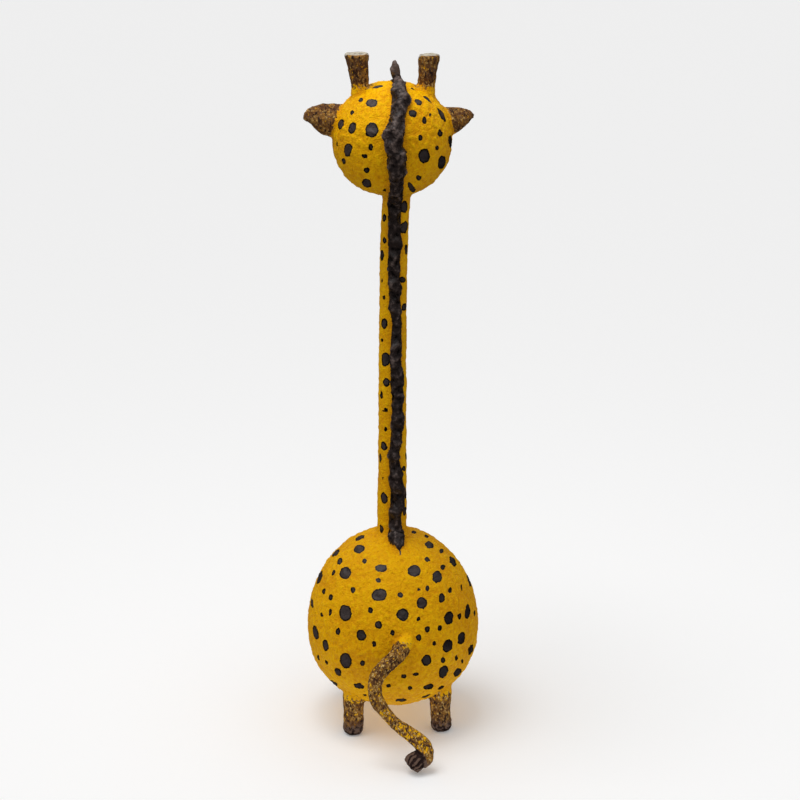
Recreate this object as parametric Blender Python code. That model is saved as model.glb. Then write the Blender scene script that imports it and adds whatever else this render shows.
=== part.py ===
# Giraffe statue made of painted papier mache as one fused piece: a ball body on four stub legs,
# a long neck, a ball head with horns, ears and muzzle, a mane ridge down the back and a curled tail.
# Metres, +Z up. The origin is on the floor under the middle of the body, and the giraffe faces -Y,
# so its left side is at +X.
import math

import bmesh
import bpy
from mathutils import Vector

MM = 0.001

# Body: a ball whose widest girdle lies a little below its middle
BODY_RADIUS = 0.075
BODY_UPPER_HEIGHT = 0.0878    # from the widest girdle to the top
BODY_LOWER_HEIGHT = 0.0691    # from the widest girdle to the belly
BELLY_CLEARANCE = 0.0193      # from the floor to the belly
LOWER_FULLNESS = 2.2          # 2 makes the lower halves of the body and head round, more is squarer

# Neck and head
NECK_LENGTH = 0.2988          # from the top of the body to the underside of the head
NECK_FOOT_RADIUS = 0.0127
NECK_RADIUS = 0.0116          # at the top
NECK_FOOT_SHIFT = 0.0008      # the neck's foot, towards the giraffe's left
NECK_LEAN = 0.0035            # sideways drift of the neck's top, towards the giraffe's right
NECK_FILLET = 0.007           # where the neck runs out into the body and into the head
HEAD_RADIUS = 0.0493
HEAD_UPPER_HEIGHT = 0.0461    # from the widest girdle to the top
HEAD_LOWER_HEIGHT = 0.0478    # from the widest girdle to the underside

# Muzzle
MUZZLE_REACH = 0.122          # from the neck's axis to the tip
MUZZLE_RADIUS = 0.0195        # at the nose
MUZZLE_ROOT_RADIUS = 0.0275   # where it leaves the head
MUZZLE_DROP = 0.0195          # the tip's axis below the head's girdle

# Horns
LEFT_HORN_SPREAD = 0.0262     # from the middle of the head, sideways, at the foot
RIGHT_HORN_SPREAD = 0.0275
LEFT_HORN_HEIGHT = 0.0696     # from the head's girdle to the flat top
RIGHT_HORN_HEIGHT = 0.0677
HORN_RADIUS = 0.0068          # near the foot
LEFT_HORN_TOP_RADIUS = 0.0099
RIGHT_HORN_TOP_RADIUS = 0.0088
HORN_SPLAY = 0.0028           # outward lean at the top

# Ears
LEFT_EAR_REACH = 0.0723       # from the neck's axis to the tip
RIGHT_EAR_REACH = 0.0668
LEFT_EAR_HALF_HEIGHT = 0.0136
RIGHT_EAR_HALF_HEIGHT = 0.0121
LEFT_EAR_HEIGHT = 0.0139      # the root's axis above the head's girdle
RIGHT_EAR_HEIGHT = 0.0120
LEFT_EAR_TIP_RISE = 0.0024    # the tip's axis above the root's
RIGHT_EAR_TIP_RISE = 0.0055
EAR_HALF_THICKNESS = 0.0042
EAR_CUP = 0.45                # how far the upper and lower edges curl forwards, as a share

# Legs
LEG_RADIUS = 0.0084
REAR_LEFT_SPREAD = 0.0378     # from the middle, sideways, at the floor
REAR_RIGHT_SPREAD = 0.0396
FRONT_SPREAD = 0.033
REAR_STANCE = 0.035           # from the middle, backwards, at the floor
FRONT_STANCE = 0.046
LEG_LEAN = 0.0015             # each leg's top stands this much nearer the middle
FOOT_FLAT_RADIUS = 0.0042     # worn flat spot that it stands on

# Tail
TAIL_ROOT_HEIGHT = 0.102      # above the floor, where it leaves the back
TAIL_TIP_HEIGHT = 0.0116      # middle of the tuft, above the floor
TAIL_STAND_OFF = 0.0412       # from the back to the tuft
TUFT_RADIUS = 0.0087
TUFT_HALF_LENGTH = 0.0075
TUFT_FLUTE = 0.09             # depth of the tuft's flutes, as a share of its radius

# Mane
MANE_RISE = 0.30              # lift of the ridge's middle off the surface, as a share of its half width
FORELOCK_HEIGHT = 0.0170      # above the top of the head
MANE_CRINKLE = 0.09           # depth of the crinkles, as a share of the half width

# Fineness
BODY_SIDES, BODY_RINGS = 44, 26
HEAD_SIDES, HEAD_RINGS = 36, 22
NECK_SIDES = 18
MUZZLE_SIDES = 20
LIMB_SIDES = 14
TAIL_SIDES = 10
MANE_SIDES = 8
FLUTES = 9

# Worked out from the sizes above
BODY_GIRDLE = BELLY_CLEARANCE + BODY_LOWER_HEIGHT
BODY_TOP = BODY_GIRDLE + BODY_UPPER_HEIGHT
HEAD_GIRDLE = BODY_TOP + NECK_LENGTH + HEAD_LOWER_HEIGHT

# The tail from its root in the back to the tuft: sideways in millimetres, share of the stand-off,
# share of the drop from the root down to the tuft, and radius in millimetres.
TAIL_KNOTS = [
    (-11.0, -0.32, -0.080, 5.0),
    (-4.4, -0.02, 0.000, 6.0),
    (0.9, 0.17, 0.063, 6.2),
    (8.4, 0.305, 0.122, 6.3),
    (16.0, 0.402, 0.178, 6.4),
    (21.4, 0.476, 0.248, 6.4),
    (23.3, 0.537, 0.337, 6.3),
    (22.2, 0.585, 0.429, 6.0),
    (19.0, 0.622, 0.508, 5.9),
    (14.6, 0.659, 0.576, 5.5),
    (8.1, 0.707, 0.657, 5.2),
    (1.5, 0.768, 0.714, 5.6),
    (-6.0, 0.829, 0.770, 6.1),
    (-13.2, 0.890, 0.832, 6.5),
    (-17.6, 0.939, 0.907, 6.9),
    (-17.8, 0.976, 0.979, 7.0),
    (-13.6, 1.000, 1.010, 6.8),
]
TUFT_SIDE = -9.0 * MM
TUFT_DIRECTION = Vector((0.86, 0.1, -0.50))

# The mane from the forelock's tip to its point on the body, all in millimetres: sideways from the
# neck's axis, and half width. The same number of knots lies on each stretch of the spine below.
FORELOCK_KNOTS = [(-1.9, 1.2), (-2.1, 3.0), (-2.7, 4.0), (-3.2, 3.8)]
HEAD_MANE_KNOTS = [
    (-3.5, 4.5), (-3.7, 6.2), (-2.9, 6.9), (-0.6, 6.5),
    (1.2, 7.4), (1.3, 6.9), (0.6, 6.1), (0.3, 6.0),
]
NAPE_KNOTS = [(0.2, 5.6), (-0.3, 5.2)]
NECK_MANE_KNOTS = [
    (-0.2, 4.8), (-0.5, 4.5), (-1.0, 4.7), (-2.2, 4.5), (-2.6, 4.7),
    (-3.2, 4.6), (-2.6, 4.4), (-0.6, 4.9), (-2.3, 5.6), (-2.0, 5.1),
]
MANE_FOOT_KNOTS = [(-1.8, 5.1), (-2.4, 4.2), (-3.7, 1.2)]


def height_at(radius, full_radius, height, fullness):
    # How far above or below its girdle a ball's surface lies, at a distance from its axis
    return height * (1 - (radius / full_radius) ** fullness) ** (1 / fullness)


def body_top_at(radius):
    return BODY_GIRDLE + height_at(radius, BODY_RADIUS, BODY_UPPER_HEIGHT, 2)


def belly_at(radius):
    return BODY_GIRDLE - height_at(radius, BODY_RADIUS, BODY_LOWER_HEIGHT, LOWER_FULLNESS)


def head_top_at(radius):
    return HEAD_GIRDLE + height_at(radius, HEAD_RADIUS, HEAD_UPPER_HEIGHT, 2)


def head_underside_at(radius):
    return HEAD_GIRDLE - height_at(radius, HEAD_RADIUS, HEAD_LOWER_HEIGHT, LOWER_FULLNESS)


def ball_point(across, up, radius, upper, lower):
    # Distance from the axis and height of a point on a ball, from its place on a round one
    if up >= 0:
        return radius * across, upper * up
    swell = (across ** LOWER_FULLNESS + (-up) ** LOWER_FULLNESS) ** (-1 / LOWER_FULLNESS)
    return radius * across * swell, lower * up * swell


def neck_share_at(height):
    return min(1.0, max(0.0, (height - BODY_TOP) / NECK_LENGTH))


def neck_side_at(height):
    share = neck_share_at(height)
    return NECK_FOOT_SHIFT * (1 - share) ** 4 - NECK_LEAN * share ** 6


def neck_radius_at(height):
    return NECK_RADIUS + (NECK_FOOT_RADIUS - NECK_RADIUS) * (1 - neck_share_at(height)) ** 2


def smooth_route(knots, steps):
    # Points on one smooth curve through the knots, each a tuple of a place and a radius
    route = []
    reach = [knots[0]] + knots + [knots[-1]]
    for before, start, end, after in zip(reach, reach[1:], reach[2:], reach[3:]):
        for step in range(steps):
            t = step / steps
            route.append(tuple(
                0.5 * (2 * b + (c - a) * t + (2 * a - 5 * b + 4 * c - d) * t * t
                       + (3 * b - a - 3 * c + d) * t ** 3)
                for a, b, c, d in zip(before, start, end, after)))
    route.append(knots[-1])
    return route


def closed_mesh(mesh):
    build = bmesh.new()
    build.from_mesh(mesh)
    bmesh.ops.remove_doubles(build, verts=build.verts, dist=0.00001)
    bmesh.ops.recalc_face_normals(build, faces=build.faces)
    build.to_mesh(mesh)
    build.free()


def tube(name, route, sides):
    # A round tube with closed ends along points of (x, y, z, radius), as a mesh
    curve = bpy.data.curves.new(name, "CURVE")
    curve.dimensions = "3D"
    curve.bevel_depth = 1
    curve.bevel_resolution = sides // 2 - 2
    curve.use_fill_caps = True
    spline = curve.splines.new("POLY")
    spline.points.add(len(route) - 1)
    for point, (x, y, z, radius) in zip(spline.points, route):
        point.co = (x, y, z, 1)
        point.radius = radius
    guide = bpy.data.objects.new(name, curve)
    forms.objects.link(guide)
    bpy.context.view_layer.update()
    mesh = bpy.data.meshes.new_from_object(guide.evaluated_get(bpy.context.evaluated_depsgraph_get()))
    closed_mesh(mesh)
    form = bpy.data.objects.new(name, mesh)
    form.matrix_world = guide.matrix_world
    bpy.data.objects.remove(guide)
    bpy.data.curves.remove(curve)
    return as_form(form)


def ball(name, sides, rings):
    mesh = bpy.data.meshes.new(name)
    build = bmesh.new()
    bmesh.ops.create_uvsphere(build, u_segments=sides, v_segments=rings, radius=1)
    build.to_mesh(mesh)
    build.free()
    return bpy.data.objects.new(name, mesh)


def as_form(form):
    # A form that the union takes in: it is a guide, not a piece of its own
    form.hide_render = True
    form.display_type = "WIRE"
    if form.name not in forms.objects:
        forms.objects.link(form)
    return form


def round_end(radius, flat_radius, steps):
    # Distances back from a rounded end with a small flat, and the radius at each
    corner = radius - flat_radius
    angles = [math.pi / 2 * step / steps for step in range(steps + 1)]
    return [(corner * (1 - math.cos(a)), flat_radius + corner * math.sin(a)) for a in angles]


def shape_ball(form, radius, upper, lower, girdle):
    for vertex in form.data.vertices:
        x, y, z = vertex.co
        across = math.hypot(x, y)
        out, height = ball_point(across, z, radius, upper, lower)
        turn = out / across if across > 0.0001 else 0
        vertex.co = (x * turn, y * turn, girdle + height)
    return form


def make_body():
    body = ball("giraffe", BODY_SIDES, BODY_RINGS)
    return shape_ball(body, BODY_RADIUS, BODY_UPPER_HEIGHT, BODY_LOWER_HEIGHT, BODY_GIRDLE)


def make_head():
    head = as_form(ball("head", HEAD_SIDES, HEAD_RINGS))
    shape_ball(head, HEAD_RADIUS, HEAD_UPPER_HEIGHT, HEAD_LOWER_HEIGHT, HEAD_GIRDLE)


def make_neck():
    # The radius grows along a quarter circle at both ends, and the tube's ends are inside the balls
    foot = body_top_at(NECK_FOOT_RADIUS + NECK_FILLET)
    top = head_underside_at(NECK_RADIUS + NECK_FILLET)
    quarter = [math.radians(angle) for angle in (0, 18, 36, 56, 90)]
    rises = [(NECK_FILLET * (1 - math.cos(a)), NECK_FILLET * (1 - math.sin(a))) for a in quarter]
    straight = 8
    span = top - foot - 2 * NECK_FILLET
    rings = [(foot + rise, spread) for rise, spread in rises]
    rings += [(foot + NECK_FILLET + span * step / straight, 0) for step in range(1, straight)]
    rings += [(top - rise, spread) for rise, spread in reversed(rises)]
    rings = [(foot - NECK_FOOT_RADIUS / 2, 0)] + rings + [(top + NECK_RADIUS / 2, 0)]
    tube("neck", [(neck_side_at(z), 0, z, neck_radius_at(z) + spread) for z, spread in rings], NECK_SIDES)


def make_muzzle():
    # Narrowest behind the nose, and drooping a little towards it
    leave = 0.84 * HEAD_RADIUS
    straight = MUZZLE_REACH - MUZZLE_RADIUS
    route = [(0, -0.35 * HEAD_RADIUS, HEAD_GIRDLE - 0.3 * MUZZLE_DROP, MUZZLE_ROOT_RADIUS)]
    for share, swell in ((0, 1.03), (0.2, 0.72), (0.42, 0.28), (0.62, -0.02), (0.8, -0.10), (1, 0)):
        drop = MUZZLE_DROP * (0.5 + 0.5 * share)
        radius = MUZZLE_RADIUS + swell * (MUZZLE_ROOT_RADIUS - MUZZLE_RADIUS)
        route.append((0, -(leave + (straight - leave) * share), HEAD_GIRDLE - drop, radius))
    for back, radius in reversed(round_end(MUZZLE_RADIUS, 0.15 * MUZZLE_RADIUS, 4)[:-1]):
        route.append((0, -(MUZZLE_REACH - back), HEAD_GIRDLE - MUZZLE_DROP, radius))
    tube("muzzle", route, MUZZLE_SIDES)


def make_horn(name, side, spread, height, top_radius):
    # A stub that spreads at its foot and widens towards a flat top
    foot = head_top_at(spread) - HEAD_GIRDLE
    shape = [
        (-0.30, 1.20, 0), (-0.06, 1.12, 0), (0.10, 1.0, 0), (0.30, 1.0, 0.12),
        (0.52, 1.0, 0.36), (0.75, 1.0, 0.68), (0.93, 1.0, 1),
    ]
    route = []
    for share, swell, flare in shape:
        radius = HORN_RADIUS * swell + flare * (top_radius - HORN_RADIUS)
        height_here = HEAD_GIRDLE + foot + (height - foot) * share
        route.append((side * (spread + HORN_SPLAY * share), 0, height_here, radius))
    route.append((side * (spread + HORN_SPLAY), 0, HEAD_GIRDLE + height, 0.88 * top_radius))
    tube(name, route, LIMB_SIDES)


def make_ear(name, side, reach, half_height, height, tip_rise):
    # A leaf: a tube along the ear that is pressed flat and whose edges then curl forwards
    root = 0.80 * HEAD_RADIUS
    axis = HEAD_GIRDLE + height
    shape = [
        (-0.25, 0.95, 0), (0.0, 1.03, 0), (0.2, 1.02, 0.06), (0.4, 0.97, 0.11), (0.6, 0.80, 0.17),
        (0.78, 0.55, 0.17), (0.91, 0.28, 0.09), (1.0, 0.05, 0),
    ]
    route = []
    for share, half, lift in shape:
        x = root + (reach - root) * share
        height_here = axis + half_height * lift + tip_rise * max(0, share) ** 1.5
        route.append((side * x, 0, height_here, half_height * half))
    ear = tube(name, route, LIMB_SIDES)
    for vertex in ear.data.vertices:
        off = (vertex.co.z - axis) / half_height
        vertex.co.y *= EAR_HALF_THICKNESS / half_height
        vertex.co.y -= EAR_CUP * half_height * off * off - EAR_HALF_THICKNESS


def make_leg(name, side, spread, end, stance):
    # A stub with a rounded foot, which spreads where it meets the belly
    foot = Vector((side * spread, end * stance))
    hip = foot * (1 - LEG_LEAN / foot.length)
    lower, surface, upper = (belly_at(foot.length + off) for off in (-LEG_RADIUS, 0, LEG_RADIUS))
    route = [(*foot, back, radius) for back, radius in round_end(LEG_RADIUS, FOOT_FLAT_RADIUS, 4)]
    blend = ((0.72 * lower, 1.0), (lower, 1.06), (surface, 1.16), (upper, 1.08), (upper + LEG_RADIUS, 0.6))
    for height, swell in blend:
        route.append((*foot.lerp(hip, height / upper), height, LEG_RADIUS * swell))
    tube(name, route, LIMB_SIDES)


def tail_route():
    # The root's distance behind the axis, on the upper or the lower half of the body
    upper = TAIL_ROOT_HEIGHT > BODY_GIRDLE
    reach, fullness = (BODY_UPPER_HEIGHT, 2) if upper else (BODY_LOWER_HEIGHT, LOWER_FULLNESS)
    rise = abs(TAIL_ROOT_HEIGHT - BODY_GIRDLE)
    root_radius = height_at(rise, reach, BODY_RADIUS, fullness)
    root_back = math.sqrt(root_radius ** 2 - (TAIL_KNOTS[1][0] * MM) ** 2)
    drop = TAIL_ROOT_HEIGHT - TAIL_TIP_HEIGHT
    knots = [(x * MM, root_back + off * TAIL_STAND_OFF, TAIL_ROOT_HEIGHT - down * drop, radius * MM)
             for x, off, down, radius in TAIL_KNOTS]
    return smooth_route(knots, 3)


def make_tail():
    tube("tail", tail_route(), TAIL_SIDES)


def make_tuft():
    # A fluted knob at the end of the tail, lying along TUFT_DIRECTION
    tuft = as_form(ball("tuft", 2 * FLUTES, 8))
    turn = TUFT_DIRECTION.to_track_quat("Z", "Y")
    end = tail_route()[-1]
    middle = Vector((TUFT_SIDE, end[1], TAIL_TIP_HEIGHT))
    for vertex in tuft.data.vertices:
        x, y, z = vertex.co
        flute = 1 + TUFT_FLUTE * math.cos(FLUTES * math.atan2(y, x)) * (1 + z) / 2
        spread = TUFT_RADIUS * flute * (1 + 0.12 * z)
        vertex.co = turn @ Vector((x * spread, y * spread, z * TUFT_HALF_LENGTH)) + middle


def mane_spine():
    # Places of the mane's knots in the plane x = 0, as (y, z, lift direction), from the forelock down
    top = HEAD_GIRDLE + HEAD_UPPER_HEIGHT
    spine = [(-0.10 * FORELOCK_HEIGHT * (1 - share), top + FORELOCK_HEIGHT * share, (0, 0))
             for share in (1, 0.72, 0.38, 0.05)]
    count = len(HEAD_MANE_KNOTS)
    for step in range(count):
        angle = math.radians(14 + (122 - 14) * step / (count - 1))
        out = (math.sin(angle), math.cos(angle))
        back, height = ball_point(*out, HEAD_RADIUS, HEAD_UPPER_HEIGHT, HEAD_LOWER_HEIGHT)
        spine.append((back, HEAD_GIRDLE + height, out))
    flare = NECK_RADIUS + NECK_FILLET
    under_head = head_underside_at(flare)
    spine.append((flare + 0.45 * NECK_FILLET, under_head - 0.05 * NECK_FILLET, (0.7, -0.5)))
    spine.append((NECK_RADIUS + 0.2 * NECK_FILLET, under_head - 1.1 * NECK_FILLET, (0.9, -0.2)))
    count = len(NECK_MANE_KNOTS)
    flare = NECK_FOOT_RADIUS + NECK_FILLET
    foot = body_top_at(flare)
    start = under_head - 2.6 * NECK_FILLET
    end = foot + 1.5 * NECK_FILLET
    for step in range(count):
        height = start + (end - start) * step / (count - 1)
        spine.append((neck_radius_at(height), height, (1, 0)))
    spine.append((NECK_FOOT_RADIUS + 0.28 * NECK_FILLET, foot + 0.5 * NECK_FILLET, (0.8, 0.4)))
    spine.append((flare + 0.1 * NECK_FILLET, foot, (0.4, 0.8)))
    tip = flare + 1.75 * NECK_FILLET
    spine.append((tip, body_top_at(tip), (0.2, 0.3)))
    return spine


def make_mane():
    widths = FORELOCK_KNOTS + HEAD_MANE_KNOTS + NAPE_KNOTS + NECK_MANE_KNOTS + MANE_FOOT_KNOTS
    knots = []
    for (x, half), (y, z, lift) in zip(widths, mane_spine()):
        half *= MM
        rise = MANE_RISE * half
        knots.append((x * MM, y + lift[0] * rise, z + lift[1] * rise, half))
    route = []
    for index, (x, y, z, half) in enumerate(smooth_route(knots, 3)):
        crinkle = MANE_CRINKLE * half
        sway = crinkle * math.sin(2.9 * index)
        route.append((x + sway, y, z, half + crinkle * math.sin(2.1 * index + 1)))
    tube("mane", route, MANE_SIDES)


def painted_paper():
    paint = bpy.data.materials.new("painted paper")
    paint.use_nodes = True
    shader = paint.node_tree.nodes["Principled BSDF"]
    shader.inputs["Base Color"].default_value = (0.72, 0.40, 0.006, 1)
    shader.inputs["Metallic"].default_value = 0
    shader.inputs["Roughness"].default_value = 0.5
    return paint


for old in list(bpy.data.objects):
    bpy.data.objects.remove(old, do_unlink=True)

statue = bpy.data.collections.new("giraffe statue")
forms = bpy.data.collections.new("fused forms")
for collection in (statue, forms):
    bpy.context.scene.collection.children.link(collection)

giraffe = make_body()
statue.objects.link(giraffe)
make_head()
make_neck()
make_muzzle()
make_horn("left horn", 1, LEFT_HORN_SPREAD, LEFT_HORN_HEIGHT, LEFT_HORN_TOP_RADIUS)
make_horn("right horn", -1, RIGHT_HORN_SPREAD, RIGHT_HORN_HEIGHT, RIGHT_HORN_TOP_RADIUS)
make_ear("left ear", 1, LEFT_EAR_REACH, LEFT_EAR_HALF_HEIGHT, LEFT_EAR_HEIGHT, LEFT_EAR_TIP_RISE)
make_ear("right ear", -1, RIGHT_EAR_REACH, RIGHT_EAR_HALF_HEIGHT, RIGHT_EAR_HEIGHT, RIGHT_EAR_TIP_RISE)
make_leg("rear left leg", 1, REAR_LEFT_SPREAD, 1, REAR_STANCE)
make_leg("rear right leg", -1, REAR_RIGHT_SPREAD, 1, REAR_STANCE)
make_leg("front left leg", 1, FRONT_SPREAD, -1, FRONT_STANCE)
make_leg("front right leg", -1, FRONT_SPREAD, -1, FRONT_STANCE)
make_tail()
make_tuft()
make_mane()

fuse = giraffe.modifiers.new("fuse the forms", "BOOLEAN")
fuse.operation = "UNION"
fuse.operand_type = "COLLECTION"
fuse.collection = forms
fuse.solver = "EXACT"

giraffe.data.materials.append(painted_paper())
giraffe.data.shade_smooth()
giraffe.data.set_sharp_from_angle(angle=math.radians(40))
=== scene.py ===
# Giraffe statue of painted papier mache, seen from behind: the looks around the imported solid.
# Metres, +Z up. The giraffe faces -Y, so its left side is at +X, which is the left of the picture.
import math
import random

import bpy
import numpy as np
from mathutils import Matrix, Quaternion, Vector


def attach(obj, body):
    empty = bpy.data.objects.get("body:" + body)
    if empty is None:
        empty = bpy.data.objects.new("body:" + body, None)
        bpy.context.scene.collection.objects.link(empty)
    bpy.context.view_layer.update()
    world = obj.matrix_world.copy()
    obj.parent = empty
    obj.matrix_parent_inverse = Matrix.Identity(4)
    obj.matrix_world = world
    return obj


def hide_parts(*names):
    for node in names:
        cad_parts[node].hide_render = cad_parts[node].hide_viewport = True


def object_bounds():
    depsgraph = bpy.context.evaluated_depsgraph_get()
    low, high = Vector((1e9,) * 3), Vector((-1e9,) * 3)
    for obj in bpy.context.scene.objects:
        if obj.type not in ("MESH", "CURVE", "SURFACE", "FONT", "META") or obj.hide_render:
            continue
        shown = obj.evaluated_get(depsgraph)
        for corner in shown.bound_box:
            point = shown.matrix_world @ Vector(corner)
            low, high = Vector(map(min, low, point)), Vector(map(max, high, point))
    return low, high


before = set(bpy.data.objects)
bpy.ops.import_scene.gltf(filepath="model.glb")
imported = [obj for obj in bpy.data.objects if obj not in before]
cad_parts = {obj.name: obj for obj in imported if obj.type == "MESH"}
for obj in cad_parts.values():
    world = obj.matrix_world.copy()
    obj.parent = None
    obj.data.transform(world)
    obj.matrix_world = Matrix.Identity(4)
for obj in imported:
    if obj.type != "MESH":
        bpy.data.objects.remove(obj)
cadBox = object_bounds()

mm = 0.001
print("frame loaded, box", [round(side / mm, 1) for side in cadBox[1] - cadBox[0]], "mm")

# The camera stands behind the giraffe, a little to its left, and looks down on it
camera = {
    "azimuth": 175, "elevation": 18, "distance": 1.9, "target": (-0.0063, 0.0006, 0.2952),
    "lens": 100.0, "sensor": 36.0, "picture": 800,
}


def addCamera():
    a, e = math.radians(camera["azimuth"]), math.radians(camera["elevation"])
    # From the target towards the camera
    back = Vector((math.sin(a) * math.cos(e), -math.cos(a) * math.cos(e), math.sin(e)))
    eye = Vector(camera["target"]) + back * camera["distance"]
    bpy.ops.object.camera_add(location=eye, rotation=(-back).to_track_quat("-Z", "Y").to_euler())
    made = bpy.context.object
    made.data.lens = camera["lens"]
    made.data.sensor_width = camera["sensor"]
    made.data.dof.use_dof = False
    bpy.context.scene.camera = made
    return made


viewer = addCamera()
bpy.context.view_layer.update()
rightward, upward, backward = (Vector(viewer.matrix_world.col[i][:3]) for i in range(3))
pixelsPerRay = camera["lens"] / camera["sensor"] * camera["picture"]

# The ball of the body and the ball of the head: round above the girdle, a little squarer below
body = {
    "radius": 0.075, "upper": 0.0878, "lower": 0.0691, "girdle": 0.0884, "fullness": 2.2,
    "sides": 128, "rings": 80,
}
head = {
    "radius": 0.0493, "upper": 0.0461, "lower": 0.0478, "girdle": 0.5228, "fullness": 2.2,
    "sides": 96, "rings": 64,
}


def ballPoint(ball, across, up):
    # Distance from the axis and height on a ball, from the place on a round one of radius 1
    if up >= 0:
        return ball["radius"] * across, ball["girdle"] + ball["upper"] * up
    power = ball["fullness"]
    swell = (across ** power + (-up) ** power) ** (-1 / power)
    return ball["radius"] * across * swell, ball["girdle"] + ball["lower"] * up * swell


def topAt(ball, radius):
    return ball["girdle"] + ball["upper"] * math.sqrt(1 - (radius / ball["radius"]) ** 2)


def undersideAt(ball, radius):
    power = ball["fullness"]
    return ball["girdle"] - ball["lower"] * (1 - (radius / ball["radius"]) ** power) ** (1 / power)


def readPoints(piece, kind="co"):
    # The places of a piece's points, or with "normal" their directions
    values = np.empty(len(piece.data.vertices) * 3)
    piece.data.vertices.foreach_get(kind, values)
    return values.reshape(-1, 3)


def writePoints(piece, points):
    piece.data.vertices.foreach_set("co", np.asarray(points, np.float32).ravel())
    piece.data.update()


def deselectAll():
    if bpy.context.object and bpy.context.object.mode != "OBJECT":
        bpy.ops.object.mode_set(mode="OBJECT")
    bpy.ops.object.select_all(action="DESELECT")


def pick(piece):
    deselectAll()
    piece.select_set(True)
    bpy.context.view_layer.objects.active = piece


def applyPlace(piece):
    pick(piece)
    bpy.ops.object.transform_apply(location=True, rotation=True, scale=True)


def applyModifier(piece, kind, **settings):
    pick(piece)
    modifier = piece.modifiers.new(kind.lower(), kind)
    for name, value in settings.items():
        setattr(modifier, name, value)
    bpy.ops.object.modifier_apply(modifier=modifier.name)


def mergeAndTurnOut(piece):
    # Doubles are merged, and then all faces point outwards
    pick(piece)
    bpy.ops.object.mode_set(mode="EDIT")
    bpy.ops.mesh.select_all(action="SELECT")
    bpy.ops.mesh.remove_doubles(threshold=0.01 * mm)
    bpy.ops.mesh.normals_make_consistent(inside=False)
    bpy.ops.object.mode_set(mode="OBJECT")


def addBall(name, ball):
    deselectAll()
    bpy.ops.mesh.primitive_uv_sphere_add(segments=ball["sides"], ring_count=ball["rings"], radius=1)
    form = bpy.context.object
    form.name = name
    for vertex in form.data.vertices:
        x, y, z = vertex.co
        across = math.hypot(x, y)
        out, height = ballPoint(ball, across, z)
        turn = out / across if across > 0.0001 else 0
        vertex.co = (x * turn, y * turn, height)
    return form


def addStack(name, rings, sides):
    # A round form built upwards: a disc that is extruded and scaled ring by ring.
    # Each ring is (x, y, z, radius).
    deselectAll()
    x, y, z, radius = rings[0]
    bpy.ops.mesh.primitive_circle_add(
        vertices=sides, radius=radius, fill_type="NGON", location=(x, y, z))
    form = bpy.context.object
    form.name = name
    applyPlace(form)
    bpy.ops.object.mode_set(mode="EDIT")
    bpy.ops.mesh.select_all(action="SELECT")
    for before, here in zip(rings, rings[1:]):
        step = [b - a for a, b in zip(before[:3], here[:3])]
        bpy.ops.mesh.extrude_region_move(TRANSFORM_OT_translate={"value": step})
        size = here[3] / before[3]
        bpy.ops.transform.resize(value=(size, size, 1), center_override=here[:3])
    bpy.ops.mesh.select_all(action="SELECT")
    bpy.ops.mesh.normals_make_consistent(inside=False)
    bpy.ops.object.mode_set(mode="OBJECT")
    return form


def roundEnd(radius, flat, steps):
    # Distances back from a rounded end with a small flat, and the radius at each
    corner = radius - flat
    angles = [math.pi / 2 * step / steps for step in range(steps + 1)]
    return [(corner * (1 - math.cos(a)), flat + corner * math.sin(a)) for a in angles]


def smoothRoute(knots, steps):
    # Points on one smooth curve through the knots
    route = []
    reach = [knots[0]] + knots + [knots[-1]]
    for before, start, end, after in zip(reach, reach[1:], reach[2:], reach[3:]):
        for step in range(steps):
            t = step / steps
            route.append(tuple(
                0.5 * (2 * b + (c - a) * t + (2 * a - 5 * b + 4 * c - d) * t * t
                       + (3 * b - a - 3 * c + d) * t ** 3)
                for a, b, c, d in zip(before, start, end, after)))
    route.append(knots[-1])
    return route


def addRope(name, route, sides):
    # A round tube along points of (x, y, z, radius): a curve with a bevel, made a mesh
    curve = bpy.data.curves.new(name, "CURVE")
    curve.dimensions = "3D"
    curve.bevel_depth = 1
    curve.bevel_resolution = sides // 2 - 2
    curve.use_fill_caps = True
    spline = curve.splines.new("POLY")
    spline.points.add(len(route) - 1)
    for point, (x, y, z, radius) in zip(spline.points, route):
        point.co = (x, y, z, 1)
        point.radius = radius
    form = bpy.data.objects.new(name, curve)
    bpy.context.scene.collection.objects.link(form)
    pick(form)
    bpy.ops.object.convert(target="MESH")
    form = bpy.context.object
    mergeAndTurnOut(form)
    return form


neck = {
    "length": 0.2988, "footRadius": 0.0127, "radius": 0.0116, "footShift": 0.0008, "lean": 0.0035,
    "fillet": 0.007, "sides": 64,
}
bodyTop = body["girdle"] + body["upper"]
headTop = head["girdle"] + head["upper"]


def neckShareAt(height):
    return min(1.0, max(0.0, (height - bodyTop) / neck["length"]))


def neckSideAt(height):
    share = neckShareAt(height)
    return neck["footShift"] * (1 - share) ** 4 - neck["lean"] * share ** 6


def neckRadiusAt(height):
    return neck["radius"] + (neck["footRadius"] - neck["radius"]) * (1 - neckShareAt(height)) ** 2


def addNeck():
    # The radius grows along a quarter circle at both ends, and the ends are inside the balls
    fillet = neck["fillet"]
    foot = topAt(body, neck["footRadius"] + fillet)
    top = undersideAt(head, neck["radius"] + fillet)
    quarter = [math.radians(angle) for angle in range(0, 91, 9)]
    rises = [(fillet * (1 - math.cos(a)), fillet * (1 - math.sin(a))) for a in quarter]
    span = top - foot - 2 * fillet
    straight = 24
    rings = [(foot + rise, spread) for rise, spread in rises]
    rings += [(foot + fillet + span * step / straight, 0) for step in range(1, straight)]
    rings += [(top - rise, spread) for rise, spread in reversed(rises)]
    rings = [(foot - neck["footRadius"] / 2, 0)] + rings + [(top + neck["radius"] / 2, 0)]
    route = [(neckSideAt(z), 0, z, neckRadiusAt(z) + spread) for z, spread in rings]
    return addStack("neck", route, neck["sides"])


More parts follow.
